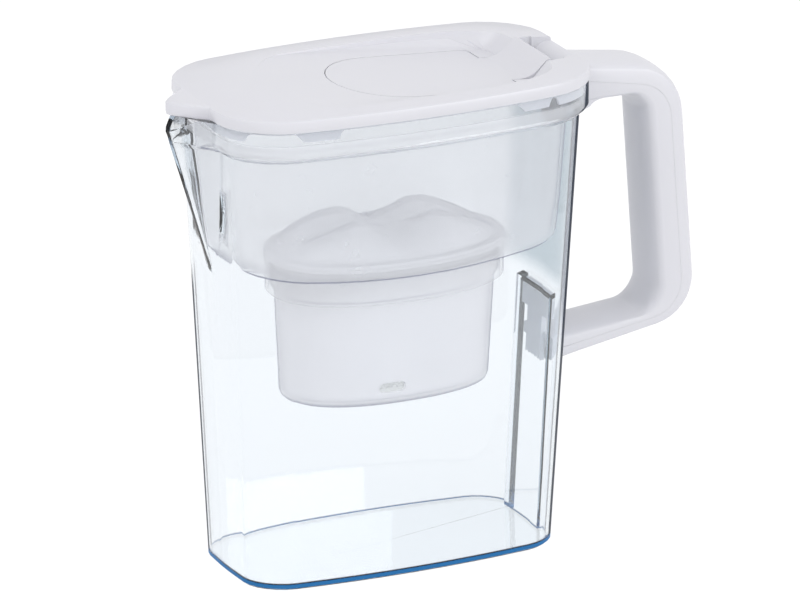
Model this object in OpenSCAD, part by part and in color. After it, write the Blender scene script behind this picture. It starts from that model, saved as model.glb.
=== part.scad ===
// Water filter pitcher with a flip lid.
// X runs from the spout to the handle, Y runs to the back and Z is up.
// The origin is the centre of the jug's underside.

/* [Jug] */
// Length of the jug at its base
base_length = 157.3; // [150:0.1:165]
// Width of the jug at its base
base_width = 79; // [74:0.1:84]
// Corner radius of the jug at its base
base_corner = 17.8; // [15:0.1:19]
// Height of the jug to the top of its rim
rim_height = 225.3; // [215:0.1:240]
// Wall thickness of the jug
jug_wall = 2.4; // [2:0.1:2.8]
// Thickness of the jug's floor
jug_floor = 2.8; // [2:0.1:4]
// Height of the rim band above the ledge that carries the funnel
band_height = 12.8; // [11.5:0.1:14]
// How far the rim band stands out from the wall
band_step = 4.26; // [3.8:0.01:4.6]

/* [Spout] */
// Reach of the spout's lip beyond the jug's wall
spout_reach = 19.2; // [16:0.1:21]
// Half width of the spout at its lip
spout_half = 21; // [18:0.1:22]
// Height of the spout from its foot to its lip
spout_rise = 72; // [60:0.5:80]
// How far the lip's tip dips below the rim
lip_dip = 8; // [5:0.1:9]
// Rounding of the spout's keel
keel_round = 2.6; // [1.5:0.1:5]

/* [Handle pocket] */
// Half width of the flat panel under the handle
pocket_half = 19; // [17:0.1:20]
// Depth of the panel
pocket_depth = 3.4; // [2.8:0.1:4]
// Height of the ledge over the panel
pocket_top = 115.5; // [110:0.1:120]

/* [Lid] */
// Length of the lid without its beak
lid_length = 186.4; // [182:0.1:190]
// Width of the lid
lid_width = 110; // [106:0.1:114]
// Corner radius of the lid
lid_corner = 27.6; // [24:0.1:30]
// Height of the lid's side band
lid_band = 5.8; // [5:0.1:7]
// Thickness of the lid's shell
lid_wall = 2.2; // [1.8:0.1:2.6]
// Reach of the beak beyond the lid's end
beak_reach = 14.2; // [10:0.1:16]
// Half width of the beak at its root
beak_half = 18.5; // [15:0.1:20]
// Depth of the skirt's teeth below the lid's band
skirt_depth = 5.2; // [4.4:0.1:5.8]
// Thickness of the skirt
skirt_wall = 1.8; // [1.4:0.1:2.2]

/* [Flap] */
// Start of the sloped recess, measured from the jug's centre
recess_start = -50; // [-56:0.5:-44]
// Length of the sloped recess
recess_run = 118; // [116:0.5:120]
// Depth of the recess at the lever
recess_drop = 7.6; // [6.8:0.1:8]
// Half width of the recess at its floor
recess_half = 33.5; // [32:0.1:36]
// Half width of the recess at its open top
recess_top_half = 42; // [40:0.1:43]
// Half width of the flap
flap_half = 31; // [26:0.1:31.2]
// Thickness of the flap
flap_thick = 2.2; // [1.8:0.1:2.4]
// Half width of the thumb lever
lever_half = 17.5; // [14:0.1:18]
// Height of the lever's tip over the lid's top
lever_rise = 0.7; // [0:0.1:2]
// Radius of the hollow in the lever's face
lever_hollow = 14; // [12:0.5:16]
// Radius of the flap's hinge pins
pin_radius = 1.6; // [1.3:0.1:1.8]
// Length of each hinge pin
pin_length = 3; // [2:0.1:4]
// Gap round the flap
flap_gap = 0.4; // [0.3:0.05:0.6]

/* [Funnel] */
// Height of the funnel's floor edge at its lowest
funnel_floor = 146; // [142:0.1:150]
// Rise of the floor towards its ends
floor_rise = 6.5; // [3:0.1:8]
// Gap from the funnel to the jug's end walls at the funnel's floor
funnel_end_gap = 4; // [2.5:0.1:6]
// Gap from the funnel to the jug's side walls at the funnel's floor
funnel_side_gap = 1.6; // [1.2:0.1:3]
// Depth of the flat panels in the funnel's ends
end_panel = 0.9; // [0:0.1:1.2]
// Corner radius of the funnel at its flange
funnel_corner = 30; // [27:0.1:32]
// Corner radius of the funnel at its floor
floor_corner = 21.5; // [20:0.1:26]
// Wall thickness of the funnel
funnel_wall = 1.8; // [1.4:0.1:2.2]
// Thickness of the flange that rests on the ledge
flange_thick = 2.4; // [2:0.1:3]
// Height of the funnel's rim above its flange
funnel_rim = 3.5; // [2:0.1:3.8]

/* [Cartridge] */
// Length of the cartridge's collar
collar_length = 108.8; // [106:0.1:111]
// Width of the cartridge's collar
collar_width = 64.4; // [62:0.1:67]
// Height of the collar
collar_height = 16; // [14:0.1:18]
// Depth of the cup below the collar
cup_depth = 52; // [45:0.5:56]
// Wall thickness of the cartridge
cup_wall = 1.6; // [1.2:0.1:2]
// How much narrower the cup is than the collar, on each side
cup_step = 1.6; // [1.2:0.1:2.2]
// Draft of the cup's wall over its depth
cup_draft = 2.4; // [1:0.1:4]
// Height of the cap's lobes
lobe_height = 16; // [10:0.5:20]
// Overhang of the cartridge's flange beyond its collar
flange_over = 3.4; // [2.6:0.1:4]

/* [Handle] */
// Width of the handle
handle_width = 30; // [26:0.5:32]
// Distance from the jug's centre to the outside of the handle at its foot
handle_reach = 154.5; // [150:0.5:160]
// Thickness of the handle from palm side to outside
handle_thick = 21.5; // [20:0.5:24]
// Depth of the palm rounding
palm_round = 7; // [4:0.5:8]
// Thickness of the handle's outer half
spine_thick = 6.8; // [5:0.1:8]
// Thickness of the foot in the pocket
foot_thick = 2.8; // [2.2:0.1:3.2]

/* [Hidden] */

// Gap between pieces that lift out and what they sit in
lift_gap = 0.3;
// Gap between pieces that touch
touch_gap = 0.05;
// Running clearance of a hinge pin in its socket
pin_clearance = 0.05;
// Overlap of cutting shapes past the faces they cut
cut = 1;

corner_steps = 6;
side_steps = 8;
handle_end_steps = 8;
spout_steps = 12;

lid_bow = 0.152;
lid_end_bow = 0.018;
base_bow = 0.143;
base_end_bow = 0.028;
ledge_z = rim_height - band_height;
band_foot = ledge_z - 2.8;
band_heel = ledge_z + 2;
rim_inset = 0.5;
wall_inset = rim_inset + band_step;
lid_top = rim_height + 0.2 + lid_band;
lid_bottom = rim_height + 0.2;
spout_foot = rim_height - 7 - spout_rise;
spout_rings = [for (share = [1/6, 5/12, 2/3]) spout_foot + spout_rise * share];
spout_top = rim_height - 7;

function mix(a, b, t) = a + (b - a) * t;
function clamp(v, low, high) = min(max(v, low), high);
function smooth(t) = t * t * (3 - 2 * t);

// Outline kit: a rounded rectangle whose four sides bow outwards.
// The points run anticlockwise from the lower corner at the handle's end.
function arc_points(cx, cy, r, from, steps) =
    [for (i = [0:steps]) [cx + r * cos(from + 90 * i / steps), cy + r * sin(from + 90 * i / steps)]];
function line_points(p, q, stops) = [for (s = stops) p + (q - p) * s];
function inner_stops(steps) = [for (i = [1:steps - 1]) i / steps];
function bowed(points, a, b, bow, end_bow) =
    [for (p = points) [p[0] * (1 - end_bow * pow(p[1] / b, 2)), p[1] * (1 - bow * pow(p[0] / a, 2))]];

// A ring of the jug: a and b are half its length and width, r rounds its corners and panel is
// the depth of the handle's panel. The spout has a reach, a half width and a rounding, and
// least is the smallest distance from the middle that the spout's end may have.
function ring(a, b, r, bow, end_bow, panel, panel_half, reach, half, round, least) =
    let (straight = b - r, handle_end = concat([-straight, -panel_half, -panel_half + 0.6],
            [for (i = [1:handle_end_steps - 1]) mix(-panel_half, panel_half, i / handle_end_steps)],
            [panel_half - 0.6, panel_half]),
        shape = concat(
            bowed(arc_points(-a + r, -b + r, r, 180, corner_steps), a, b, bow, end_bow),
            bowed(line_points([-a + r, -b], [a - r, -b], inner_stops(side_steps)), a, b, bow, end_bow),
            bowed(arc_points(a - r, -b + r, r, 270, corner_steps), a, b, bow, end_bow),
            [for (i = [1:len(handle_end) - 1]) let (y = handle_end[i],
                x = a * (1 - end_bow * pow(y / b, 2)),
                cut_in = abs(y) < panel_half - 0.1 ? panel : 0) [x - cut_in, y * (1 - bow)]],
            bowed(arc_points(a - r, b - r, r, 0, corner_steps), a, b, bow, end_bow),
            bowed(line_points([a - r, b], [-a + r, b], inner_stops(side_steps)), a, b, bow, end_bow),
            bowed(arc_points(-a + r, b - r, r, 90, corner_steps), a, b, bow, end_bow),
            [for (i = [0:spout_steps]) let (y = mix(half, -half, i / spout_steps),
                x = a * (1 - end_bow * pow(y / b, 2)),
                out = vee(y, half, reach, round)) [-max(x + out, least * (1 - end_bow * pow(y / b, 2))), y * (1 - bow)]]))
    shape;

// A vee with a rounded tip: its height over a straight base at a distance y from the middle
function vee(y, half, reach, round) =
    reach * (sqrt(half * half + round * round) - sqrt(y * y + round * round))
        / (sqrt(half * half + round * round) - round);

// Skin over closed rings of equal length, with flat caps at both ends
module skin(rings) {
    n = len(rings[0]);
    m = len(rings);
    points = [for (loop = rings) each loop];
    sides = [for (k = [0:m - 2], i = [0:n - 1]) let (j = (i + 1) % n)
        each [[k * n + i, k * n + n + i, k * n + n + j], [k * n + i, k * n + n + j, k * n + j]]];
    polyhedron(points = points, faces = concat(sides,
        [[for (i = [0:n - 1]) i]],
        [[for (i = [0:n - 1]) (m - 1) * n + n - 1 - i]]), convexity = 10);
}

// Skin over rings that run round a hole and close on themselves
module ring_skin(rings) {
    n = len(rings[0]);
    m = len(rings);
    points = [for (loop = rings) each loop];
    polyhedron(points = points, faces = [for (k = [0:m - 1], i = [0:n - 1])
        let (j = (i + 1) % n, a = k * n, b = ((k + 1) % m) * n)
        each [[a + i, b + i, b + j], [a + i, b + j, a + j]]], convexity = 10);
}

// Jug rings at a height, inset from the outside by the wall
function share(z) = z / band_foot;
function spout_share(z) = clamp((z - spout_foot) / spout_rise, 0, 1.1);
function jug_ring(z, inset, panel = 0, least = 0) =
    let (t = share(z), s = spout_share(z),
        a = mix(base_length / 2, lid_length / 2 - wall_inset, t) - inset,
        b = mix(base_width / 2, lid_width / 2 - wall_inset, t) - inset,
        r = mix(base_corner, lid_corner - wall_inset, t) - inset,
        half = mix(7, spout_half, pow(s, 0.8)) - inset * 0.8)
    [for (p = ring(a, b, max(r, 3), mix(base_bow, lid_bow, t), mix(base_end_bow, lid_end_bow, t),
        panel, pocket_half + inset, spout_reach * s, half, keel_round, least)) [p[0], p[1], z]];

// Rim rings, which stand out by the band but keep the spout's shape
function rim_ring(z, inset, out) =
    let (s = spout_share(min(z, spout_top)),
        a = lid_length / 2 - rim_inset - out - inset,
        b = lid_width / 2 - rim_inset - out - inset,
        r = lid_corner - rim_inset - out - inset,
        wall = lid_length / 2 - wall_inset - inset,
        half = mix(7, spout_half, pow(s, 0.8)) - inset * 0.8,
        reach = spout_reach * s - (a - wall))
    [for (p = ring(a, b, r, lid_bow, lid_end_bow, 0, pocket_half + inset, max(reach, 0), half, keel_round, a))
        [p[0], p[1], z]];

// The lip dips towards the tip of the spout
function lip(points, edge) =
    [for (p = points) let (over = clamp((-p[0] - edge) / (spout_reach - band_step), 0, 1))
        [p[0], p[1], p[2] - lip_dip * pow(over, 1.6)]];

module jug() {
    chamfer = 0.8;
    outer = concat(
        [jug_ring(0, chamfer, pocket_depth)],
        [jug_ring(chamfer, 0, pocket_depth)],
        [for (z = [40, 80, pocket_top - 1]) jug_ring(z, 0, pocket_depth)],
        [for (z = concat([pocket_top, spout_foot], spout_rings)) jug_ring(z, 0)],
        [jug_ring(band_foot, 0)],
        [for (i = [1:3]) rim_ring(mix(band_foot, band_heel, i / 4), 0, band_step * (1 - sin(90 * i / 4)))],
        [rim_ring(band_heel, 0, 0)],
        [lip(rim_ring(rim_height, 0, 0), lid_length / 2 - rim_inset)]);
    inner = concat(
        [lip(rim_ring(rim_height, jug_wall, 0), lid_length / 2 - rim_inset - jug_wall)],
        [rim_ring(ledge_z, jug_wall, 0)],
        [jug_ring(ledge_z - 0.2, jug_wall)],
        [for (z = [spout_rings[2], spout_rings[1], spout_rings[0], spout_foot, pocket_top + jug_wall])
            jug_ring(z, jug_wall)],
        [for (z = [pocket_top + jug_wall - 1, 80, 40]) jug_ring(z, jug_wall, pocket_depth)],
        [jug_ring(jug_floor, jug_wall, pocket_depth)]);
    color([0.82, 0.91, 0.95, 0.4]) skin(concat(outer, inner));
}

// Handle: three paths in the side view, from the rim band round to the foot.
// The top arm's heights hang from the rim and the lower arm's from the panel's ledge.
grip_lean = 0.08;
palm_top = rim_height - 18;
parting_top = rim_height - 15.9;
outer_top = rim_height - 7.4;
palm_low = pocket_top - 17;
parting_low = pocket_top - 16.1;
outer_low = pocket_top - 19.3;
top_arm_x = lid_length / 2 - rim_inset + touch_gap;
foot_arm_x = base_length / 2 + 3.35;
lean_from = pocket_top + 2.5;
outer_x = function (z) handle_reach - 0.3 + (lean_from - z) * grip_lean;
parting_x = function (z) outer_x(z) - spine_thick;
edge_x = function (z) outer_x(z) - handle_thick + palm_round;

function unit(v) = v / norm(v);
// Points of an arc of radius r that rounds the corner b between a and c
function rounded(a, b, c, r, steps) =
    let (u = unit(a - b), v = unit(c - b), half = acos(u * v) / 2, d = r / tan(half),
        p = b + u * d, centre = b + unit(u + v) * (r / sin(half)),
        from = atan2(p[1] - centre[1], p[0] - centre[0]), turn = -(180 - 2 * half))
    [for (i = [0:steps]) centre + r * [cos(from + turn * i / steps), sin(from + turn * i / steps)]];
function route(a, b, c, d, r1, r2) =
    let (first = rounded(a, b, c, r1, 8), second = rounded(b, c, d, r2, 8))
    concat([for (t = [0, 0.3, 0.65]) mix(a, first[0], t)], first,
        [for (t = [0.25, 0.5, 0.75]) mix(first[8], second[0], t)], second,
        [for (t = [0.4, 0.75, 1]) mix(second[8], d, t)]);

edge_path = route([top_arm_x, palm_top + 1.9], [edge_x(palm_top), palm_top + 1.9],
    [edge_x(palm_low), palm_low], [foot_arm_x, palm_low - 5.5], 12, 15);
parting_path = route([top_arm_x, parting_top + 8.8], [parting_x(parting_top), parting_top],
    [parting_x(parting_low), parting_low], [foot_arm_x, parting_low - 10.8], 19, 17);
outer_path = route([lid_length / 2 + lift_gap, outer_top + 7.3], [outer_x(outer_top), outer_top],
    [outer_x(outer_low), outer_low], [foot_arm_x, outer_low - 13.2], 27, 22);
stations = len(edge_path);

// How round the palm side is at each place of the path: full on the upright, less on the arms
palm_depth = [for (i = [0:stations - 1])
    let (t = i / (stations - 1)) mix(palm_round / 2, palm_round, smooth(clamp(sin(180 * t) * 1.6 - 0.4, 0, 1)))];
// Direction from the palm side to the outside, square to the edge path
function path_normal(i) =
    let (d = unit(edge_path[min(i + 1, stations - 1)] - edge_path[max(i - 1, 0)])) [-d[1], d[0]];

function placed(p, dir, along, side) = [p[0] + dir[0] * along, side, p[1] + dir[1] * along];

function grip_ring(i) =
    let (p = edge_path[i], q = parting_path[i], dir = path_normal(i), half = handle_width / 2)
    concat([for (k = [-6:6]) let (turn = 90 * k / 6)
            placed(p, dir, -palm_depth[i] * cos(turn), -half * sin(turn))],
        [placed(q, dir, 0, -half), placed(q, dir, 0, half)]);

crown = 3.4;
crown_proud = 1.2;
crown_steps = 12;
// The outer half ends short of the foot
function clear_of_foot(p) = [max(p[0], foot_arm_x + 1.3), p[1]];

function spine_ring(i) =
    let (p = clear_of_foot(parting_path[i]), q = clear_of_foot(outer_path[i]),
        dir = unit(q - p), half = handle_width / 2,
        high = norm(q - p) + crown_proud)
    concat([placed(p, dir, touch_gap, half), placed(p, dir, touch_gap, -half)],
        [for (k = [0:crown_steps]) let (side = -half * cos(180 * k / crown_steps))
            placed(p, dir, high - crown * (1 - pow(1 - pow(abs(side) / half, 3), 1 / 2)), side)]);

// Side view of the web that fills the corner between the top arm and the jug's wall
module root_web() {
    round = 8.4;
    foot_z = rim_height - 26;
    centre = [lid_length / 2 + 13.3, palm_top - round];
    rotate([90, 0, 0]) linear_extrude(handle_width - 4, center = true) polygon(concat(
        [[wall_x(foot_z), foot_z], [wall_x(band_foot), band_foot - 0.4], [top_arm_x, band_foot],
            [top_arm_x, palm_top + 4], [centre[0], palm_top + 4]],
        [for (k = [0:5]) centre + round * [-sin(10 * k), cos(10 * k)]]));
}
// Outside of the jug's wall at the handle's end, with room for the web
function wall_x(z) = mix(base_length / 2, lid_length / 2 - wall_inset, share(z)) + 0.3;

module handle_grip() {
    foot_z = pocket_top - 15.5;
    foot_face = base_length / 2 - pocket_depth
        + share(foot_z) * ((lid_length - base_length) / 2 - wall_inset);
    wall_lean = atan(((lid_length - base_length) / 2 - wall_inset) / band_foot);
    head = [foot_thick, 28, 10];
    stem = [foot_thick, 16, 22];
    color([0.96, 0.96, 0.97]) union() {
        skin([for (i = [stations - 1:-1:0]) grip_ring(i)]);
        root_web();
        // Foot in the jug's pocket, with a toothed lower end
        translate([foot_face + 0.3, 0, foot_z]) rotate([0, wall_lean, 0]) {
            translate([0, -head[1] / 2, 4]) cube(head);
            difference() {
                translate([0, -stem[1] / 2, 4 - stem[2]]) cube(stem + [0, 0, cut]);
                for (i = [-2:2]) translate([-cut, i * stem[1] / 5, 4 - stem[2]]) rotate([0, 90, 0])
                    cylinder(r = stem[1] / 14, h = foot_thick + 2 * cut, $fn = 12);
            }
        }
    }
}

module handle_spine() {
    color([0.97, 0.97, 0.98]) skin([for (i = [stations - 1:-1:0]) spine_ring(i)]);
}

// Plain bowed outlines, for the lid and the funnel
function plain(a, b, r, bow, end_bow, beak = 0, half = 18, round = 5, panel = 0) =
    concat(
        bowed(arc_points(-a + r, -b + r, r, 180, corner_steps), a, b, bow, end_bow),
        bowed(line_points([-a + r, -b], [a - r, -b], inner_stops(side_steps)), a, b, bow, end_bow),
        bowed(arc_points(a - r, -b + r, r, 270, corner_steps), a, b, bow, end_bow),
        [for (y = [-half, -half + 0.5, -half / 3, half / 3, half - 0.5, half])
            [a * (1 - end_bow * pow(y / b, 2)) - (abs(y) < half - 0.1 ? panel : 0), y * (1 - bow)]],
        bowed(arc_points(a - r, b - r, r, 0, corner_steps), a, b, bow, end_bow),
        bowed(line_points([a - r, b], [-a + r, b], inner_stops(side_steps)), a, b, bow, end_bow),
        bowed(arc_points(-a + r, b - r, r, 90, corner_steps), a, b, bow, end_bow),
        [for (y = concat([half], [for (i = [0:spout_steps]) mix(half - 0.5, 0.5 - half, i / spout_steps)], [-half]))
            [-a * (1 - end_bow * pow(y / b, 2)) - vee(y, half, beak, round)
                + (abs(y) < half - 0.1 ? panel : 0), y * (1 - bow)]]);

function lifted(points, z) = [for (p = points) [p[0], p[1], z]];

function lid_outline(inset, beak) =
    plain(lid_length / 2 - inset, lid_width / 2 - inset, lid_corner - inset, lid_bow, lid_end_bow,
        beak, beak_half, 5);

// Half length and half width of the funnel's floor, from the jug's inside at that height
floor_share = share(funnel_floor);
floor_a = mix(base_length / 2, lid_length / 2 - wall_inset, floor_share) - jug_wall - funnel_end_gap;
floor_b = mix(base_width / 2, lid_width / 2 - wall_inset, floor_share) - jug_wall - funnel_side_gap;
seat_gap = 0.5;
function funnel_ring(z, inset, edge = 0, panel = end_panel) =
    let (t = clamp((z - funnel_floor) / (ledge_z - funnel_floor), 0, 1),
        top_a = lid_length / 2 - wall_inset - jug_wall - seat_gap,
        top_b = lid_width / 2 - wall_inset - jug_wall - seat_gap,
        a = mix(floor_a, top_a, t) - inset,
        b = mix(floor_b, top_b, t) - inset,
        r = mix(floor_corner, funnel_corner, t) - inset)
    [for (p = plain(a, b, r, lid_bow, lid_end_bow, 0, b - r - 1, 5, panel))
        [p[0], p[1], z + edge * floor_rise * pow(p[0] / floor_a, 2)]];

// Ovals of the cartridge
oval_steps = 48;
cartridge_x = 1.5;
function oval(a, b) = [for (i = [0:oval_steps - 1]) let (turn = 360 * i / oval_steps,
    c = cos(turn), s = sin(turn), k = pow(pow(abs(c), 2.3) + pow(abs(s), 2.3), -1 / 2.3))
    [cartridge_x + a * c * k, b * s * k]];
function oval_beside(points, a, b, z) = [for (p = points) let (turn = atan2(p[1] / b, (p[0] - cartridge_x) / a),
    c = cos(turn), s = sin(turn), k = pow(pow(abs(c), 2.3) + pow(abs(s), 2.3), -1 / 2.3))
    [cartridge_x + a * c * k, b * s * k, z]];
seat_z = funnel_floor + 1.6;
collar_a = collar_length / 2;
collar_b = collar_width / 2;
sleeve_wall = 1.8;
sleeve_gap = 0.8;
seal_proud = 0.4;
groove_depth = 0.8;
groove_high = seat_z - 4;
groove_low = seat_z - 6.2;
collar_foot = seat_z - collar_height;
cup_foot = collar_foot - cup_depth;

module funnel() {
    flange_inset = rim_inset + jug_wall + lift_gap;
    rim_wall = 1.6;
    flange_low = ledge_z + 0.15;
    flange_high = flange_low + flange_thick;
    bottom = funnel_ring(funnel_floor, 1.2, 1);
    sleeve_a = collar_a + sleeve_gap;
    sleeve_b = collar_b + sleeve_gap;
    color([0.9, 0.9, 0.93, 0.6]) ring_skin(concat(
        [bottom],
        [funnel_ring(funnel_floor + 1.2, 0, 1)],
        [for (t = [0.35, 0.65]) funnel_ring(mix(funnel_floor, ledge_z, t), 0)],
        [funnel_ring(ledge_z - 0.8, 0)],
        [funnel_ring(flange_low, 0, 0, 0)],
        [lifted(lid_outline(flange_inset, 0), flange_low)],
        [lifted(lid_outline(flange_inset, 0), flange_high + funnel_rim)],
        [lifted(lid_outline(flange_inset + rim_wall, 0), flange_high + funnel_rim)],
        [lifted(lid_outline(flange_inset + rim_wall, 0), flange_high)],
        [funnel_ring(flange_high, funnel_wall)],
        [for (t = [0.65, 0.35]) funnel_ring(mix(funnel_floor, ledge_z, t), funnel_wall)],
        [funnel_ring(funnel_floor + 1.8, funnel_wall + 1, 1)],
        [oval_beside(bottom, collar_a + flange_over + 0.8, collar_b + flange_over + 0.8, seat_z)],
        [oval_beside(bottom, sleeve_a, sleeve_b, seat_z)],
        [oval_beside(bottom, sleeve_a, sleeve_b, collar_foot)],
        [oval_beside(bottom, sleeve_a + sleeve_wall, sleeve_b + sleeve_wall, collar_foot)],
        [oval_beside(bottom, sleeve_a + sleeve_wall, sleeve_b + sleeve_wall, funnel_floor - 0.4)]));
}

module cartridge_cup() {
    cup_a = collar_a - cup_step;
    cup_b = collar_b - cup_step;
    top = seat_z + 0.2;
    color([0.93, 0.93, 0.95, 0.8]) difference() {
        skin([
            lifted(oval(cup_a - cup_draft - 3, cup_b - cup_draft - 3), cup_foot),
            lifted(oval(cup_a - cup_draft - 0.8, cup_b - cup_draft - 0.8), cup_foot + 1),
            lifted(oval(cup_a - cup_draft, cup_b - cup_draft), cup_foot + 3.4),
            lifted(oval(cup_a, cup_b), collar_foot),
            lifted(oval(collar_a, collar_b), collar_foot + 1.2),
            lifted(oval(collar_a, collar_b), groove_low),
            lifted(oval(collar_a - groove_depth, collar_b - groove_depth), groove_low),
            lifted(oval(collar_a - groove_depth, collar_b - groove_depth), groove_high),
            lifted(oval(collar_a, collar_b), groove_high),
            lifted(oval(collar_a, collar_b), top),
            lifted(oval(collar_a + flange_over, collar_b + flange_over), top),
            lifted(oval(collar_a + flange_over, collar_b + flange_over), top + 1.6),
            lifted(oval(cup_a - cup_wall, cup_b - cup_wall), top + 1.6),
            lifted(oval(cup_a - cup_wall, cup_b - cup_wall), collar_foot),
            lifted(oval(cup_a - cup_draft - cup_wall, cup_b - cup_draft - cup_wall), cup_foot + 3.4),
            lifted(oval(cup_a - cup_draft - 4, cup_b - cup_draft - 4), cup_foot + 2)]);
        for (side = [-1, 1]) outlet_slot(side);
        for (i = [-5:5]) translate([cartridge_x + i * 7, 0, cup_foot - cut]) slot(2.4, 26, 4);
    }
}

module slot(wide, long, high) {
    linear_extrude(high) union() {
        square([wide, long - wide], center = true);
        translate([0, (long - wide) / 2]) circle(d = wide, $fn = 24);
        translate([0, -(long - wide) / 2]) circle(d = wide, $fn = 24);
    }
}

module outlet_slot(side) {
    translate([cartridge_x - 9, side * (collar_b - 8), cup_foot + 9])
        rotate([-side * 90, 0, 0]) rotate([0, 0, 90]) translate([0, 0, -2]) slot(5, 13, 12);
}

function lobe(turn) = 0.5 - 0.5 * cos(4 * turn);
function cap_ring(s, lift) =
    let (a = collar_a - 1.5, b = collar_b - 1.5, edge = oval(a * s, b * s))
    [for (i = [0:oval_steps - 1]) let (turn = 360 * i / oval_steps,
        rise = lobe_height * pow(1 - pow(s, 3), 0.7) * (0.45 + 0.55 * lobe(turn) * smooth(clamp(s * 2.4 - 0.26, 0, 1))))
        [cartridge_x + (edge[i][0] - cartridge_x), edge[i][1], seat_z + 2 + lift + rise]];

module cartridge_cap() {
    color([0.95, 0.95, 0.96, 0.9]) skin(concat(
        [for (s = [0.05, 0.25, 0.45, 0.62, 0.78, 0.9]) cap_ring(s, -1.6)],
        [lifted(oval(collar_a - 3.4, collar_b - 3.4), seat_z + 1.9)],
        [lifted(oval(collar_a + flange_over - 0.4, collar_b + flange_over - 0.4), seat_z + 1.9)],
        [lifted(oval(collar_a + flange_over - 0.4, collar_b + flange_over - 0.4), seat_z + 3.4)],
        [for (s = [1, 0.94, 0.84, 0.68, 0.5, 0.3, 0.1]) cap_ring(s, 1.4)]));
}

module cartridge_seal() {
    color([0.85, 0.85, 0.87]) translate([0, 0, groove_low + touch_gap])
        linear_extrude(groove_high - groove_low - 2 * touch_gap) difference() {
            polygon(oval(collar_a + seal_proud, collar_b + seal_proud));
            polygon(oval(collar_a - groove_depth + touch_gap, collar_b - groove_depth + touch_gap));
        }
}

// Flat oval layers inside the cup, stacked from the floor up
layer_low = cup_foot + 4;
module layer(z, thick, inset) {
    a = collar_a - cup_step - cup_draft - cup_wall - inset;
    b = collar_b - cup_step - cup_draft - cup_wall - inset;
    translate([0, 0, z]) linear_extrude(thick) polygon(oval(a, b));
}
media_low = layer_low + 1 + 3 + 2 * touch_gap;
media_high = seat_z - 6;

module outlet_screen() {
    color([0.8, 0.8, 0.82]) layer(layer_low, 1, 0.3);
}
module outlet_pad() {
    color([0.97, 0.97, 0.97]) layer(layer_low + 1 + touch_gap, 3, 0.3);
}
module filter_media() {
    color([0.25, 0.24, 0.22]) layer(media_low, media_high - media_low, 0.3);
}
module inlet_pad() {
    color([0.97, 0.97, 0.97]) layer(media_high + touch_gap, 3, 0.3);
}
module inlet_screen() {
    color([0.8, 0.8, 0.82]) layer(media_high + 3 + 2 * touch_gap, 1, 0.3);
}

// The sloped frame of the recess: X runs down the slope and Z is square to it
slope = atan(recess_drop / recess_run);
module in_recess() {
    translate([recess_start, 0, lid_top]) rotate([0, slope, 0]) children();
}
function down_slope(x) = (x - recess_start) / cos(slope);
function recess_z(x) = lid_top - recess_drop * (x - recess_start) / recess_run;

// Plan of a recess or a flap: an oval nose and two rounded corners at the heel
function tongue(from, to, half, nose, heel_long, heel_wide) = concat(
    [for (i = [0:16]) let (turn = -90 + 180 * i / 16)
        [from + nose * (1 - cos(turn)), half * sin(turn)]],
    [for (side = [1, -1], i = [0:8]) let (turn = 90 * (side > 0 ? i : 8 - i) / 8)
        [to - heel_long * (1 - pow(sin(turn), 0.8)), side * (half - heel_wide * (1 - pow(cos(turn), 0.8)))]]);

floor_end_x = recess_start + recess_run;
bank_end_x = floor_end_x + 4;
top_end_x = floor_end_x + 9.2;
well_end_x = floor_end_x + 16.4;
flap_nose_x = recess_start + 25;
flap_nose = 30;
flap_heel_x = floor_end_x - 10.5;
bank_share = 0.45;
hinge_x = floor_end_x - 2;
hinge_z = recess_z(hinge_x) - 2.63;
barrel_radius = pin_radius + 0.9;
block_foot = lid_top - 12.8;

// The recess as a stack of outlines, from above the lid down over the bank to the floor.
// Each has the length of its rounded nose, and the length and the half width of its heel.
bank_nose = 26;
floor_nose = 22;
top_heel = [55, 25];
bank_heel = [52, 22];
floor_heel = [14, 11];
function sloping(points, part, sink) =
    [for (p = points) [p[0], p[1], mix(lid_top, recess_z(p[0]), part) - sink]];
function basin(grow, top, bank_sink, floor_sink) =
    let (start = recess_start - 6 - grow, half = recess_top_half + grow) [
    lifted(tongue(start, top_end_x + grow, half + 0.6, bank_nose, top_heel[0], top_heel[1]), top),
    sloping(tongue(start, bank_end_x + grow, half, bank_nose, bank_heel[0], bank_heel[1]),
        bank_share, bank_sink),
    sloping(tongue(start, floor_end_x + grow, recess_half + grow, floor_nose, floor_heel[0], floor_heel[1]),
        1, floor_sink)];

// Side view of the thumb scoop: a roll that climbs from the well's back to the lid's end
scoop_roll = 8;
module scoop() {
    centre = [lid_length / 2 - 0.7, lid_top - 1.9 - scoop_roll];
    rotate([90, 0, 0]) linear_extrude(2 * recess_top_half - 4, center = true) polygon(concat(
        [[top_end_x - 1, centre[1]]],
        [for (k = [0:8]) centre + scoop_roll * [-cos(90 * k / 8), sin(90 * k / 8)]],
        [[lid_length / 2 + 4, lid_top - 1.9], [lid_length / 2 + 4, lid_top + 8], [top_end_x - 1, lid_top + 8]]));
}
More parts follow.
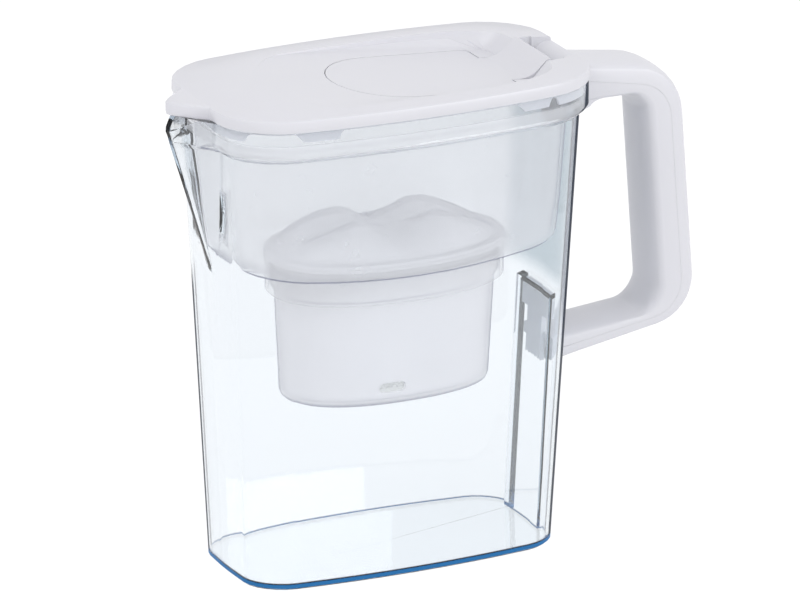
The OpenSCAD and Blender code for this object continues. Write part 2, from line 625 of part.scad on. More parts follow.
// Solid under the roll: it stands inside the skirt, and above the jug's rim it reaches the band
module scoop_bed() {
    inside = lid_length / 2 - rim_inset - jug_wall - lift_gap - skirt_wall / 2;
    height = lid_top - lid_bottom + skirt_depth - 0.4;
    half = scoop_half + scoop_wall;
    translate([well_end_x - 2, -half, lid_bottom - skirt_depth])
        cube([inside - well_end_x + 2, 2 * half, height]);
    translate([well_end_x - 2, -half, lid_bottom])
        cube([lid_length / 2 - 1 - well_end_x + 2, 2 * half, lid_band - 0.4]);
}
scoop_half = lever_half + 0.8;
scoop_wall = 2;
scoop_end_half = 12.4;
module scoop_plan(grow = 0) {
    past = lid_length / 2 + 5;
    root = scoop_half + grow;
    end = scoop_end_half + grow;
    translate([0, 0, block_foot - cut]) linear_extrude(lid_top - block_foot + 10) polygon([
        [top_end_x - 17, -root], [top_end_x + 1, -root], [past, -end],
        [past, end], [top_end_x + 1, root], [top_end_x - 17, root]]);
}

// Windows between the skirt's teeth, as shares of the lid's half length, on both of its sides
windows = [for (w = [[-0.9, -0.676], [-0.472, 0.494], [0.66, 0.708]]) w * lid_length / 2];
module skirt_windows() {
    top = lid_bottom - 1.2;
    foot = lid_bottom - skirt_depth - cut;
    chamfer = 3.4;
    for (side = [-1, 1], w = windows) translate([0, side * lid_width / 2, 0]) rotate([90, 0, 0])
        linear_extrude(44, center = true) polygon([[w[0] - 1, foot], [w[0] + 0.6, top - 1],
            [w[0] + 1.6, top], [w[1] - 1.6, top], [w[1] - 0.6, top - 1],
            [w[1] + (w[1] - w[0] > 10 ? chamfer : 1), foot]]);
}

module lid() {
    band_edge = 1;
    skirt_inset = rim_inset + jug_wall + lift_gap;
    block_width = 52;
    color([0.95, 0.95, 0.97]) difference() {
        union() {
            // Shell with its side band
            difference() {
                skin([lifted(lid_outline(0.3, beak_reach), lid_bottom),
                    lifted(lid_outline(0, beak_reach), lid_bottom + 1),
                    lifted(lid_outline(0, beak_reach), lid_top - band_edge),
                    lifted(lid_outline(0.35, beak_reach), lid_top - 0.3),
                    lifted(lid_outline(band_edge, beak_reach), lid_top)]);
                translate([0, 0, lid_bottom - cut]) linear_extrude(lid_band - lid_wall + cut)
                    polygon(lid_outline(lid_wall, beak_reach - 1));
            }
            // Skirt of teeth inside the jug's rim
            difference() {
                translate([0, 0, lid_bottom - skirt_depth]) linear_extrude(skirt_depth + lid_band - 1)
                    difference() {
                        polygon(lid_outline(skirt_inset, 0));
                        polygon(lid_outline(skirt_inset + skirt_wall, 0));
                    }
                skirt_windows();
            }
            // Tub round the recess
            skin(basin(2, lid_top - 0.4, lid_wall, flap_thick + 2.4));
            // Block round the lever and under the scoop
            translate([flap_heel_x + 0.5, -block_width / 2, block_foot])
                cube([well_end_x - flap_heel_x, block_width, lid_top - block_foot - 0.4]);
            intersection() {
                scoop_plan(scoop_wall);
                scoop_bed();
            }
        }
        // Recess
        skin(basin(0, lid_top + 2, 0, 0));
        // Rebate for the flap
        in_recess() translate([0, 0, -flap_thick - 0.1]) linear_extrude(20) polygon(tongue(
            down_slope(flap_nose_x - flap_gap), down_slope(flap_heel_x + 0.8), flap_half + flap_gap,
            flap_nose, 4.4, 4.4));
        // Fill hole
        in_recess() translate([0, 0, -20]) linear_extrude(30) polygon(tongue(
            down_slope(flap_nose_x + 5), down_slope(flap_heel_x - 8), flap_half - 4, flap_nose - 4, 6, 6));
        // Well under the lever
        translate([flap_heel_x, -lever_half - flap_gap, block_foot - cut])
            cube([well_end_x - flap_heel_x, 2 * (lever_half + flap_gap), 30]);
        intersection() {
            scoop();
            scoop_plan();
        }
        // Hinge sockets
        for (side = [-1, 1]) translate([hinge_x, side * (lever_half - cut), hinge_z]) rotate([-side * 90, 0, 0])
            cylinder(r = pin_radius + pin_clearance, h = pin_length + flap_gap + 0.4 + cut, $fn = 48);
    }
}

// Side view of the thumb lever: the flap's plane runs into a hollow that climbs to a straight tip
module lever() {
    climb = 43;
    from = flap_heel_x - 4;
    crease = [flap_heel_x + 3.5, recess_z(flap_heel_x + 3.5)];
    centre = crease + lever_hollow * [sin(slope), cos(slope)];
    along = [cos(climb), sin(climb)];
    across = [-sin(climb), cos(climb)];
    top = centre - lever_hollow * across;
    tip = top + along * ((lid_top + lever_rise - top[1]) / sin(climb));
    rotate([90, 0, 0]) linear_extrude(2 * lever_half, center = true) polygon(concat(
        [[from, recess_z(from)]],
        [for (k = [0:8]) let (turn = mix(-slope, climb, k / 8)) centre + lever_hollow * [sin(turn), -cos(turn)]],
        [for (k = [0:4]) tip - across * flap_thick / 2
            + flap_thick / 2 * (across * cos(45 * k) + along * sin(45 * k))],
        [for (k = [8:-1:0]) let (turn = mix(-slope, climb, k / 8))
            centre + (lever_hollow + flap_thick) * [sin(turn), -cos(turn)]],
        [[from, recess_z(from) - flap_thick + 0.05]]));
}

module flap() {
    color([0.98, 0.98, 0.99]) union() {
        in_recess() translate([0, 0, -flap_thick]) linear_extrude(flap_thick) polygon(tongue(
            down_slope(flap_nose_x), down_slope(flap_heel_x), flap_half, flap_nose, 4, 4));
        lever();
        // Hinge barrel with its pins
        translate([hinge_x, 0, hinge_z]) rotate([90, 0, 0]) {
            cylinder(r = barrel_radius, h = 2 * lever_half, center = true, $fn = 48);
            cylinder(r = pin_radius, h = 2 * (lever_half + pin_length), center = true, $fn = 48);
        }
    }
}

jug();
handle_grip();
handle_spine();
funnel();
lid();
flap();
cartridge_cup();
cartridge_cap();
cartridge_seal();
inlet_screen();
inlet_pad();
filter_media();
outlet_pad();
outlet_screen();
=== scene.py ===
"""Looks for the water filter pitcher: its plastics, its filter layers and a soft studio round it."""

import math

import bmesh
import bpy
from bpy.props import FloatProperty, FloatVectorProperty, PointerProperty
from mathutils import Matrix, Vector

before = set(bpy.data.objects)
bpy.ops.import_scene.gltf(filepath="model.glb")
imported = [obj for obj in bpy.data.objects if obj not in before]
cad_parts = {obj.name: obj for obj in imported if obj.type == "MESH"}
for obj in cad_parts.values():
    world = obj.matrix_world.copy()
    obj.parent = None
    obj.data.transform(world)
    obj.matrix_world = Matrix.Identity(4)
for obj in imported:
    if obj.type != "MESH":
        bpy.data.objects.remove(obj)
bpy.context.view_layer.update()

bl_info = {
    "name": "Filter Pitcher",
    "version": (1, 0, 0),
    "blender": (4, 5, 0),
    "location": "3D View > Sidebar > Pitcher",
    "description": "Finishes the filter pitcher's pieces and lights them in a plain studio",
    "category": "Object",
}

MM = 0.001

# Where the clear jug's painted shade, painted dark corners and painted foot glow lie, by place on its own
# axes: none at the first value, all at the second
END_WALL_X = (70 * MM, 74 * MM)
OVER_POCKET_Z = (117 * MM, 130 * MM)
SPOUT_X = (-50 * MM, -60 * MM)
SPOUT_Z = (130 * MM, 146 * MM)
FOOT_Z = (3.2 * MM, 2.4 * MM)

# The same by how a face lies, as the size of its normal on one axis, or its lesser size on X and Y
FACES_END = (0.7, 0.95)
STANDS_UPRIGHT = (0.6, 0.45)
ROUNDS_A_CORNER = (0.12, 0.2)

# The slant of the frosted edges that look down and get painted shade, as the Z of their normal, and where
# flat faces begin
SLANTS_DOWN = (-0.2, -0.35)
SHORT_OF_FLAT = (-0.95, -0.8)

# How far the eye looks along a wall: 0 is square to it, 1 is in its plane
ALONG_CLEAR = (0.7, 0.74)
ALONG_FROSTED = (0.72, 0.97)

# Share of the scattered light that a wall lets through to what it holds
CLEAR_PASSES = 0.98
FROSTED_PASSES = 0.95

SHARP_EDGE = math.radians(32)
WELD_GAP = 0.01 * MM


def srgb(code):
    """Linear RGBA of an sRGB hex colour."""
    channels = [int(code[i : i + 2], 16) / 255 for i in (0, 2, 4)]
    return tuple(c / 12.92 if c <= 0.04045 else ((c + 0.055) / 1.055) ** 2.4 for c in channels) + (1.0,)


def colour(name, code, description):
    """A colour property with the default of a hex code."""
    return FloatVectorProperty(
        name=name, description=description, subtype="COLOR", size=4, min=0, max=1, default=srgb(code)
    )


def share(name, default, description):
    """A property that goes from 0 to 1."""
    return FloatProperty(
        name=name, description=description, default=default, min=0, max=1, subtype="FACTOR"
    )


def point(name, place, description):
    """A property that holds a place in metres."""
    return FloatVectorProperty(name=name, description=description, size=3, default=place, unit="LENGTH")


class PitcherFinish(bpy.types.PropertyGroup):
    clear_body: colour("Clear plastic", "FCFDFE", "Surface tint of the jug's clear plastic")
    # Painted dark of the jug's corners, standing in for shade where the eye looks along the wall
    corner_painted_dark: colour("Clear plastic at corners", "0A2034", "Colour of the jug's corners along the wall")
    clear_depth: colour("Clear plastic in depth", "5FA8CC", "Colour that long paths in the plastic take")
    # Painted blue glow of light held in the base edge, over the plastic's own tint
    foot_painted_glow: colour("Clear plastic at the foot", "2F74AE", "Blue that gathers in the jug's base edge")
    # Painted shade on the end wall over the handle's pocket
    end_wall_painted_shade: colour("Clear plastic by the handle", "BAC5CB", "Smoky cast of the end wall over the pocket")
    clear_density: FloatProperty(
        name="Depth of tint",
        description="How fast the clear plastic takes its colour",
        default=22,
        min=0,
        max=200,
    )
    white_shell: colour("White shell", "E0E0E4", "Lid, flap and handle")
    frosted: colour("Frosted funnel", "FBF9FA", "Frosted plastic of the funnel")
    frosted_opacity: share("Funnel's opacity", 0.26, "How much one face of the funnel hides")
    frosted_roughness: share("Funnel's roughness", 0.32, "How matt the funnel is")
    milky: colour("Milky cartridge", "FAF8FA", "Milky plastic of the cartridge")
    milky_opacity: share("Cartridge's opacity", 0.6, "How much one face of the cartridge hides")
    milky_roughness: share("Cartridge's roughness", 0.42, "How matt the cartridge is")
    # Painted grey shade on the frosted edges, where the eye looks along the wall and where they look down
    frosted_painted_shade: colour("Frosted plastic at its edges", "8E8EA4", "Colour of both, seen along the wall")
    seal: colour("Seal", "D9D9DE", "Soft rubber of the cartridge's seal")
    fleece: colour("Fleece", "F2F2EF", "Felted pads in the cartridge")
    screen: colour("Screen", "D8D8DC", "Woven screens in the cartridge")
    media: colour("Filter media", "F0F0EE", "Bed of filter granules")


class PitcherStudio(bpy.types.PropertyGroup):
    floor_size: FloatProperty(
        name="Floor", description="Side of the floor", default=6, min=1, unit="LENGTH"
    )
    floor_drop: FloatProperty(
        name="Floor drop",
        description="How far the floor lies below the jug",
        default=0.3 * MM,
        unit="LENGTH",
    )
    floor_tone: colour("Floor tone", "F4F4F4", "Pale floor")
    floor_glow: FloatProperty(
        name="Floor glow", description="White that the eye sees on the floor", default=1.14, min=0
    )
    floor_blend: share("Floor blend", 0.75, "How much of that white covers the lit paper")
    sky_tone: colour("Sky tone", "F6F6FA", "Colour of the world's light")
    ambient: FloatProperty(
        name="Ambient", description="Strength of the world's light", default=0.8, min=0, max=2
    )
    lamp_aim: point("Lamps' aim", (0, 0, 0.12), "Point that both lamps face")
    key_place: point("Key lamp's place", (1.9, -2.6, 1.3), "Place of the key lamp")
    key_size: FloatProperty(
        name="Key lamp's size", description="Side of the key lamp", default=1.6, unit="LENGTH"
    )
    key_power: FloatProperty(
        name="Key lamp", description="Power of the key lamp", default=28, min=0, unit="POWER"
    )
    top_place: point("Top lamp's place", (-1.5, -0.6, 1.9), "Place of the top lamp")
    top_size: FloatProperty(
        name="Top lamp's size", description="Side of the top lamp", default=1.2, unit="LENGTH"
    )
    top_power: FloatProperty(
        name="Top lamp", description="Power of the top lamp", default=13, min=0, unit="POWER"
    )
    azimuth: FloatProperty(
        name="Azimuth",
        description="Camera's turn round the object",
        default=math.radians(-25.448),
        subtype="ANGLE",
    )
    elevation: FloatProperty(
        name="Elevation",
        description="Camera's height over the horizon",
        default=math.radians(19.55),
        subtype="ANGLE",
    )
    roll: FloatProperty(
        name="Roll", description="Camera's tilt", default=math.radians(0.212), subtype="ANGLE"
    )
    middle: point("Middle", (9.832 * MM, 0, 119.024 * MM), "Point that the camera faces")
    distance: FloatProperty(
        name="Distance", description="Distance of the camera", default=4.11525, min=0.5, unit="LENGTH"
    )
    lens: FloatProperty(
        name="Lens", description="Focal length of the camera in mm", default=402.27, min=20
    )


def add(tree, kind, settings=None, inputs=None):
    """Adds a node, sets its own settings, and gives its sockets their values or links."""
    node = tree.nodes.new(kind)
    for name, value in (settings or {}).items():
        setattr(node, name, value)
    for name, value in (inputs or {}).items():
        if isinstance(value, bpy.types.NodeSocket):
            tree.links.new(value, node.inputs[name])
        else:
            node.inputs[name].default_value = value
    return node


def new_material(name):
    """A node material with no nodes yet, and its tree."""
    material = bpy.data.materials.new(name)
    material.use_nodes = True
    material.node_tree.nodes.clear()
    return material, material.node_tree


def both(tree, first, second):
    """Where two masks meet."""
    return add(tree, "ShaderNodeMath", {"operation": "MULTIPLY"}, {0: first, 1: second}).outputs[0]


def either(tree, first, second):
    """Where at least one of two masks is."""
    return add(tree, "ShaderNodeMath", {"operation": "MAXIMUM"}, {0: first, 1: second}).outputs[0]


def outside(tree, mask):
    """Where a mask isn't."""
    return add(tree, "ShaderNodeMath", {"operation": "SUBTRACT"}, {0: 1.0, 1: mask}).outputs[0]


def step(tree, value, start, end):
    """A mask that goes softly from 0 at the start to 1 at the end, whichever of the two is higher."""
    rises = float(end > start)
    inputs = {
        "Value": value,
        "From Min": min(start, end),
        "From Max": max(start, end),
        "To Min": 1 - rises,
        "To Max": rises,
    }
    return add(tree, "ShaderNodeMapRange", {"interpolation_type": "SMOOTHSTEP"}, inputs).outputs["Result"]


def glance(tree, start, end):
    """A mask of where the eye looks along the piece's wall."""
    facing = add(tree, "ShaderNodeLayerWeight", inputs={"Blend": 0.5}).outputs["Facing"]
    return step(tree, facing, start, end)


def grain(tree, size, detail):
    """Noise in the object's own space, with lumps of a real size in metres."""
    place = add(tree, "ShaderNodeTexCoord").outputs["Object"]
    inputs = {"Vector": place, "Scale": 1 / size, "Detail": detail}
    return add(tree, "ShaderNodeTexNoise", inputs=inputs).outputs["Fac"]


def toned(tree, pattern, low, high):
    """A colour that goes from one tone to another with a pattern."""
    return add(tree, "ShaderNodeMix", {"data_type": "RGBA"}, {0: pattern, 6: low, 7: high}).outputs[2]


def dimmed(tone, amount):
    """A darker tone of a colour."""
    return [channel * amount for channel in tone[:3]] + [1]


def lets_light_in(tree, passed):
    """An opacity that a share of the scattered light passes, so that what the piece holds isn't dark."""
    path = add(tree, "ShaderNodeLightPath").outputs
    scattered = either(tree, path["Is Shadow Ray"], path["Is Diffuse Ray"])
    inputs = {"Value": scattered, "To Min": 1.0, "To Max": 1.0 - passed}
    return add(tree, "ShaderNodeMapRange", inputs=inputs).outputs["Result"]


def axes_of(tree, vector):
    """The X, Y and Z of a place or a direction."""
    return add(tree, "ShaderNodeSeparateXYZ", inputs={"Vector": vector}).outputs


def shade_behind_handle(tree, spot, lie):
    """Painted shade on the end wall, from the ledge of the handle's pocket upwards."""
    end_wall = both(tree, step(tree, lie["X"], *FACES_END), step(tree, spot["X"], *END_WALL_X))
    return both(tree, end_wall, step(tree, spot["Z"], *OVER_POCKET_Z))


def painted_dark_corners(tree, spot, lie, upright):
    """Painted dark lines on the rounded corners where the eye looks along them, standing in for light
    caught between the wall's two skins.
    """
    askew = add(tree, "ShaderNodeMath", {"operation": "MINIMUM"}, {0: lie["X"], 1: lie["Y"]}).outputs[0]
    corner = both(tree, upright, step(tree, askew, *ROUNDS_A_CORNER))
    # The spout's thin walls stay clear
    spout = both(tree, step(tree, spot["Z"], *SPOUT_Z), step(tree, spot["X"], *SPOUT_X))
    return both(tree, glance(tree, *ALONG_CLEAR), both(tree, corner, outside(tree, spout)))


def clear_styrene(finish):
    """Styrene acrylonitrile from a polished mould: glass-clear, with painted dark corners, painted shade on
    the end wall and a painted blue glow at the foot.
    """
    material, tree = new_material("clear_styrene_acrylonitrile_polished")
    spot = axes_of(tree, add(tree, "ShaderNodeTexCoord").outputs["Object"])
    look = axes_of(tree, add(tree, "ShaderNodeNewGeometry").outputs["Normal"])
    lie = {
        axis: add(tree, "ShaderNodeMath", {"operation": "ABSOLUTE"}, {0: look[axis]}).outputs[0]
        for axis in ("X", "Y", "Z")
    }
    upright = step(tree, lie["Z"], *STANDS_UPRIGHT)
    # Flow lines of the melt, about 25 mm apart, ripple the reflections a little
    flow = grain(tree, 25 * MM, 1.0)
    ripple = add(tree, "ShaderNodeBump", inputs={"Height": flow, "Distance": 0.02 * MM})
    # Painted shade on the end wall over the handle's pocket
    shaded = shade_behind_handle(tree, spot, lie)
    clear = add(
        tree,
        "ShaderNodeBsdfPrincipled",
        inputs={
            "Base Color": toned(tree, shaded, finish.clear_body, finish.end_wall_painted_shade),
            "Roughness": 0.02,
            "IOR": 1.57,
            "Transmission Weight": 1.0,
            "Alpha": lets_light_in(tree, CLEAR_PASSES),
            "Normal": ripple.outputs["Normal"],
        },
    )
    # The foot of the walls gets a blue band 3 mm high: the plastic's own tint, deepened by a painted glow
    # of light held in the base edge
    foot = both(tree, step(tree, spot["Z"], *FOOT_Z), upright)
    painted_shader = add(
        tree,
        "ShaderNodeBsdfPrincipled",
        inputs={
            "Base Color": toned(tree, foot, finish.corner_painted_dark, finish.foot_painted_glow),
            "Roughness": 0.4,
            "Specular IOR Level": 0.1,
            "Alpha": lets_light_in(tree, CLEAR_PASSES),
        },
    )
    # Painted dark corners and the painted glow of the foot
    painted_dark_and_glow = either(tree, painted_dark_corners(tree, spot, lie, upright), foot)
    inputs = {"Fac": painted_dark_and_glow, 1: clear.outputs["BSDF"], 2: painted_shader.outputs["BSDF"]}
    body = add(tree, "ShaderNodeMixShader", inputs=inputs)
    inputs = {"Color": finish.clear_depth, "Density": finish.clear_density}
    depth = add(tree, "ShaderNodeVolumeAbsorption", inputs=inputs)
    inputs = {"Surface": body.outputs["Shader"], "Volume": depth.outputs["Volume"]}
    add(tree, "ShaderNodeOutputMaterial", inputs=inputs)
    return material


def surface(tree, inputs):
    """One shader over the whole piece, and the tree's output."""
    shader = add(tree, "ShaderNodeBsdfPrincipled", inputs=inputs)
    add(tree, "ShaderNodeOutputMaterial", inputs={"Surface": shader.outputs["BSDF"]})


def satin_shell(finish):
    """ABS from a fine spark-eroded mould: a satin white whose highlights are soft and faintly grained."""
    material, tree = new_material("white_abs_satin_moulded")
    # Spark erosion leaves pits about 0.1 mm across, drawn at 0.5 mm so that they show
    pits = grain(tree, 0.5 * MM, 3.0)
    gloss = add(tree, "ShaderNodeMapRange", inputs={"Value": pits, "To Min": 0.3, "To Max": 0.42})
    relief = add(tree, "ShaderNodeBump", inputs={"Height": pits, "Distance": 0.012 * MM})
    # Packing of the melt clouds the tone over some 40 mm
    cloud = grain(tree, 40 * MM, 2.0)
    inputs = {
        "Base Color": toned(tree, cloud, dimmed(finish.white_shell, 0.975), finish.white_shell),
        "Roughness": gloss.outputs["Result"],
        "IOR": 1.53,
        "Subsurface Weight": 0.12,
        "Subsurface Radius": (1.0, 1.0, 1.1),
        "Subsurface Scale": 2 * MM,
        "Normal": relief.outputs["Normal"],
    }
    surface(tree, inputs)
    return material


def frosted_propylene(name, tint, painted_shade_tone, opacity, roughness):
    """Natural polypropylene, moulded: it lets light through and is denser along its wall, where it gets
    painted grey shade.
    """
    material, tree = new_material(name)
    # Crystals in the plastic scatter in clouds of about 12 mm
    cloud = grain(tree, 12 * MM, 2.0)
    inputs = {"Value": cloud, "To Min": roughness - 0.03, "To Max": roughness + 0.03}
    gloss = add(tree, "ShaderNodeMapRange", inputs=inputs)
    # Its lower edges, which look down at a slant, get a painted grey line of shade
    look = axes_of(tree, add(tree, "ShaderNodeNewGeometry").outputs["Normal"])
    slant = both(tree, step(tree, look["Z"], *SLANTS_DOWN), step(tree, look["Z"], *SHORT_OF_FLAT))
    # Painted grey shade where the eye looks along the wall and on those edges; the same mask makes the
    # plastic denser there
    along = either(tree, glance(tree, *ALONG_FROSTED), slant)
    density = either(tree, both(tree, along, 0.85), opacity)
    inputs = {
        "Base Color": toned(tree, along, toned(tree, cloud, dimmed(tint, 0.985), tint), painted_shade_tone),
        "Roughness": gloss.outputs["Result"],
        "IOR": 1.49,
        "Alpha": both(tree, lets_light_in(tree, FROSTED_PASSES), density),
    }
    surface(tree, inputs)
    return material


def soft_seal(finish):
    """Silicone rubber: soft and matt, with a dusty bloom."""
    material, tree = new_material("silicone_rubber_matt")
    # Bloom of powder in specks of about 0.4 mm
    dust = grain(tree, 0.4 * MM, 4.0)
    relief = add(tree, "ShaderNodeBump", inputs={"Height": dust, "Distance": 0.02 * MM})
    inputs = {
        "Base Color": toned(tree, dust, dimmed(finish.seal, 0.93), finish.seal),
        "Roughness": 0.65,
        "IOR": 1.41,
        "Normal": relief.outputs["Normal"],
    }
    surface(tree, inputs)
    return material


def felted_fleece(finish):
    """Needled polyester felt: a mat of crossing fibres with a soft sheen."""
    material, tree = new_material("polyester_felt_needled")
    # Fibres are 0.02 mm thick and lie in tufts about 0.6 mm across
    tufts = grain(tree, 0.6 * MM, 6.0)
    relief = add(tree, "ShaderNodeBump", inputs={"Height": tufts, "Distance": 0.2 * MM})
    inputs = {
        "Base Color": toned(tree, tufts, dimmed(finish.fleece, 0.82), finish.fleece),
        "Roughness": 0.95,
        "Sheen Weight": 0.3,
        "Normal": relief.outputs["Normal"],
    }
    surface(tree, inputs)
    return material


def woven_screen(finish):
    """Nylon mesh, plain woven: a square net with raised threads."""
    material, tree = new_material("nylon_mesh_woven")
    place = add(tree, "ShaderNodeTexCoord").outputs["Object"]
    # Threads are 0.5 mm apart
    inputs = {"Vector": place, "Scale": math.pi / (10 * 0.5 * MM)}
    warp = add(tree, "ShaderNodeTexWave", {"wave_type": "BANDS", "bands_direction": "X"}, inputs)
    weft = add(tree, "ShaderNodeTexWave", {"wave_type": "BANDS", "bands_direction": "Y"}, inputs)
    net = either(tree, warp.outputs["Fac"], weft.outputs["Fac"])
    relief = add(tree, "ShaderNodeBump", inputs={"Height": net, "Distance": 0.15 * MM})
    inputs = {
        "Base Color": toned(tree, net, dimmed(finish.screen, 0.6), finish.screen),
        "Roughness": 0.5,
        "Normal": relief.outputs["Normal"],
    }
    surface(tree, inputs)
    return material


def granule_bed(finish):
    """Ion-exchange beads and carbon grains, loosely poured: pale beads with darker grains between them."""
    material, tree = new_material("filter_granules_poured")
    place = add(tree, "ShaderNodeTexCoord").outputs["Object"]
    # Beads are 0.8 mm across, and stand up in the middle
    beads = add(tree, "ShaderNodeTexVoronoi", inputs={"Vector": place, "Scale": 1 / (0.8 * MM)}).outputs
    relief = add(tree, "ShaderNodeBump", inputs={"Height": beads["Distance"], "Distance": -0.3 * MM})
    inputs = {
        "Base Color": toned(tree, beads["Color"], dimmed(finish.media, 0.7), finish.media),
        "Roughness": 0.7,
        "Normal": relief.outputs["Normal"],
    }
    surface(tree, inputs)
    return material


def dress(node, material):
    """Gives a CAD node its material and smooth shading that breaks at its real edges."""
    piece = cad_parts[node]
    mesh = piece.data
    normals = mesh.attributes.get("custom_normal")
    if normals:
        mesh.attributes.remove(normals)
    mesh.polygons.foreach_set("use_smooth", [True] * len(mesh.polygons))
    mesh.materials.clear()
    mesh.materials.append(material)
    weld = piece.modifiers.new("Joined triangles", "WELD")
    weld.merge_threshold = WELD_GAP
    split = piece.modifiers.new("Sharp edges", "EDGE_SPLIT")
    split.split_angle = SHARP_EDGE


class PITCHER_OT_jug(bpy.types.Operator):
    """Finishes the clear jug"""

    bl_idname = "pitcher.jug"
    bl_label = "Jug"

    def execute(self, context):
        dress("jug", clear_styrene(context.scene.pitcher_finish))
        return {"FINISHED"}


class PITCHER_OT_shells(bpy.types.Operator):
    """Finishes the white lid, flap and handle"""

    bl_idname = "pitcher.shells"
    bl_label = "Lid and handle"

    def execute(self, context):
        material = satin_shell(context.scene.pitcher_finish)
        for node in ("lid", "flap", "handle_grip", "handle_spine"):
            dress(node, material)
        return {"FINISHED"}


class PITCHER_OT_funnel(bpy.types.Operator):
    """Finishes the frosted funnel"""

    bl_idname = "pitcher.funnel"
    bl_label = "Funnel"

    def execute(self, context):
        finish = context.scene.pitcher_finish
        material = frosted_propylene(
            "frosted_polypropylene_moulded",
            finish.frosted,
            finish.frosted_painted_shade,
            finish.frosted_opacity,
            finish.frosted_roughness,
        )
        dress("funnel", material)
        return {"FINISHED"}


class PITCHER_OT_cartridge(bpy.types.Operator):
    """Finishes the filter cartridge, its seal and the layers inside it"""

    bl_idname = "pitcher.cartridge"
    bl_label = "Cartridge"

    def execute(self, context):
        finish = context.scene.pitcher_finish
        milky = frosted_propylene(
            "milky_polypropylene_moulded",
            finish.milky,
            finish.frosted_painted_shade,
            finish.milky_opacity,
            finish.milky_roughness,
        )
        for node in ("cartridge_cup", "cartridge_cap"):
            dress(node, milky)
        dress("cartridge_seal", soft_seal(finish))
        fleece = felted_fleece(finish)
        screen = woven_screen(finish)
        for node in ("inlet_pad", "outlet_pad"):
            dress(node, fleece)
        for node in ("inlet_screen", "outlet_screen"):
            dress(node, screen)
        dress("filter_media", granule_bed(finish))
        return {"FINISHED"}


def lamp(name, place, aim, size, power):
    """A square soft box that faces a point."""
    data = bpy.data.lights.new(name, "AREA")
    data.size = size
    data.energy = power
    box = bpy.data.objects.new(name, data)
    box.location = place
    box.rotation_mode = "QUATERNION"
    box.rotation_quaternion = (Vector(place) - Vector(aim)).to_track_quat("Z", "Y")
    bpy.context.scene.collection.objects.link(box)


def seen_directly(tree):
    """1 for rays that the camera, a gloss or a clear piece sends, 0 for light on the object."""
    path = add(tree, "ShaderNodeLightPath").outputs
    mirrored = either(tree, path["Is Camera Ray"], path["Is Glossy Ray"])
    return either(tree, mirrored, path["Is Transmission Ray"])


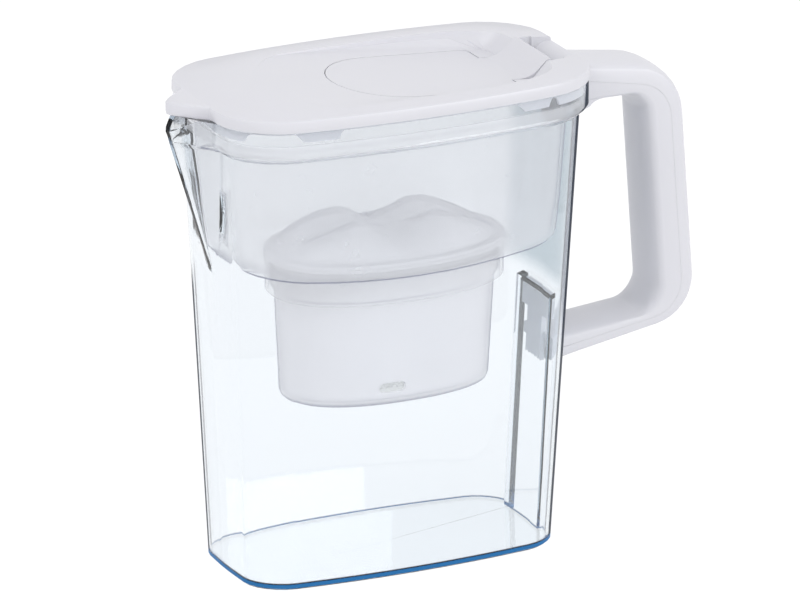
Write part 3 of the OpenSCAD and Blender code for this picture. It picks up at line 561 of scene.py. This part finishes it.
class PITCHER_OT_studio(bpy.types.Operator):
    """Sets up the floor, the lamps, the world and the camera"""

    bl_idname = "pitcher.studio"
    bl_label = "Studio"

    def execute(self, context):
        studio = context.scene.pitcher_studio
        self.lay_floor(studio)
        self.light(context, studio)
        self.aim_camera(context, studio)
        context.scene.view_settings.view_transform = "Standard"
        return {"FINISHED"}

    def lay_floor(self, studio):
        sheet = bmesh.new()
        level = Matrix.Translation((0, 0, -studio.floor_drop))
        bmesh.ops.create_grid(sheet, x_segments=1, y_segments=1, size=studio.floor_size / 2, matrix=level)
        mesh = bpy.data.meshes.new("studio_floor")
        sheet.to_mesh(mesh)
        sheet.free()
        floor = bpy.data.objects.new("studio_floor", mesh)
        bpy.context.scene.collection.objects.link(floor)
        material, tree = new_material("paper_sweep_matt")
        inputs = {"Base Color": studio.floor_tone, "Roughness": 0.9, "Specular IOR Level": 0.1}
        paper = add(tree, "ShaderNodeBsdfPrincipled", inputs=inputs)
        # The eye sees a sweep that is lit to white, with the object's shadow on it
        glow = add(tree, "ShaderNodeEmission", inputs={"Strength": studio.floor_glow})
        inputs = {"Value": seen_directly(tree), "To Min": 0.0, "To Max": studio.floor_blend}
        seen = add(tree, "ShaderNodeMapRange", inputs=inputs)
        inputs = {"Fac": seen.outputs["Result"], 1: paper.outputs["BSDF"], 2: glow.outputs["Emission"]}
        mix = add(tree, "ShaderNodeMixShader", inputs=inputs)
        add(tree, "ShaderNodeOutputMaterial", inputs={"Surface": mix.outputs["Shader"]})
        mesh.materials.append(material)

    def light(self, context, studio):
        world = bpy.data.worlds.new("studio_world")
        world.use_nodes = True
        tree = world.node_tree
        tree.nodes.clear()
        white = add(tree, "ShaderNodeBackground", inputs={"Color": (1, 1, 1, 1), "Strength": 1.0})
        inputs = {"Color": studio.sky_tone, "Strength": studio.ambient}
        soft = add(tree, "ShaderNodeBackground", inputs=inputs)
        inputs = {"Fac": seen_directly(tree), 1: soft.outputs["Background"], 2: white.outputs["Background"]}
        mix = add(tree, "ShaderNodeMixShader", inputs=inputs)
        add(tree, "ShaderNodeOutputWorld", inputs={"Surface": mix.outputs["Shader"]})
        context.scene.world = world
        lamp("key_lamp", studio.key_place, studio.lamp_aim, studio.key_size, studio.key_power)
        lamp("top_lamp", studio.top_place, studio.lamp_aim, studio.top_size, studio.top_power)

    def aim_camera(self, context, studio):
        sin_a, cos_a = math.sin(studio.azimuth), math.cos(studio.azimuth)
        sin_e, cos_e = math.sin(studio.elevation), math.cos(studio.elevation)
        back = Vector((sin_a * cos_e, -cos_a * cos_e, sin_e))
        level = Vector((cos_a, sin_a, 0))
        rise = back.cross(level)
        right = level * math.cos(studio.roll) + rise * math.sin(studio.roll)
        up = rise * math.cos(studio.roll) - level * math.sin(studio.roll)
        data = bpy.data.cameras.new("camera")
        data.lens = studio.lens
        data.sensor_width = 36
        data.clip_end = 50
        camera = bpy.data.objects.new("camera", data)
        turn = Matrix((right, up, back)).transposed().to_4x4()
        camera.matrix_world = Matrix.Translation(Vector(studio.middle) + back * studio.distance) @ turn
        context.scene.collection.objects.link(camera)
        context.scene.camera = camera


STEPS = (PITCHER_OT_jug, PITCHER_OT_shells, PITCHER_OT_funnel, PITCHER_OT_cartridge, PITCHER_OT_studio)


class PITCHER_PT_panel(bpy.types.Panel):
    bl_idname = "PITCHER_PT_panel"
    bl_label = "Filter pitcher"
    bl_space_type = "VIEW_3D"
    bl_region_type = "UI"
    bl_category = "Pitcher"

    def draw(self, context):
        for group in (context.scene.pitcher_finish, context.scene.pitcher_studio):
            box = self.layout.box()
            for name in group.bl_rna.properties.keys():
                if name not in ("rna_type", "name"):
                    box.prop(group, name)
        for step in STEPS:
            self.layout.operator(step.bl_idname)


CLASSES = (PitcherFinish, PitcherStudio, *STEPS, PITCHER_PT_panel)


def register():
    for cls in CLASSES:
        bpy.utils.register_class(cls)
    bpy.types.Scene.pitcher_finish = PointerProperty(type=PitcherFinish)
    bpy.types.Scene.pitcher_studio = PointerProperty(type=PitcherStudio)


def unregister():
    del bpy.types.Scene.pitcher_studio
    del bpy.types.Scene.pitcher_finish
    for cls in reversed(CLASSES):
        bpy.utils.unregister_class(cls)


def main():
    register()
    bpy.ops.pitcher.jug()
    bpy.ops.pitcher.shells()
    bpy.ops.pitcher.funnel()
    bpy.ops.pitcher.cartridge()
    bpy.ops.pitcher.studio()


if __name__ == "__main__":
    main()
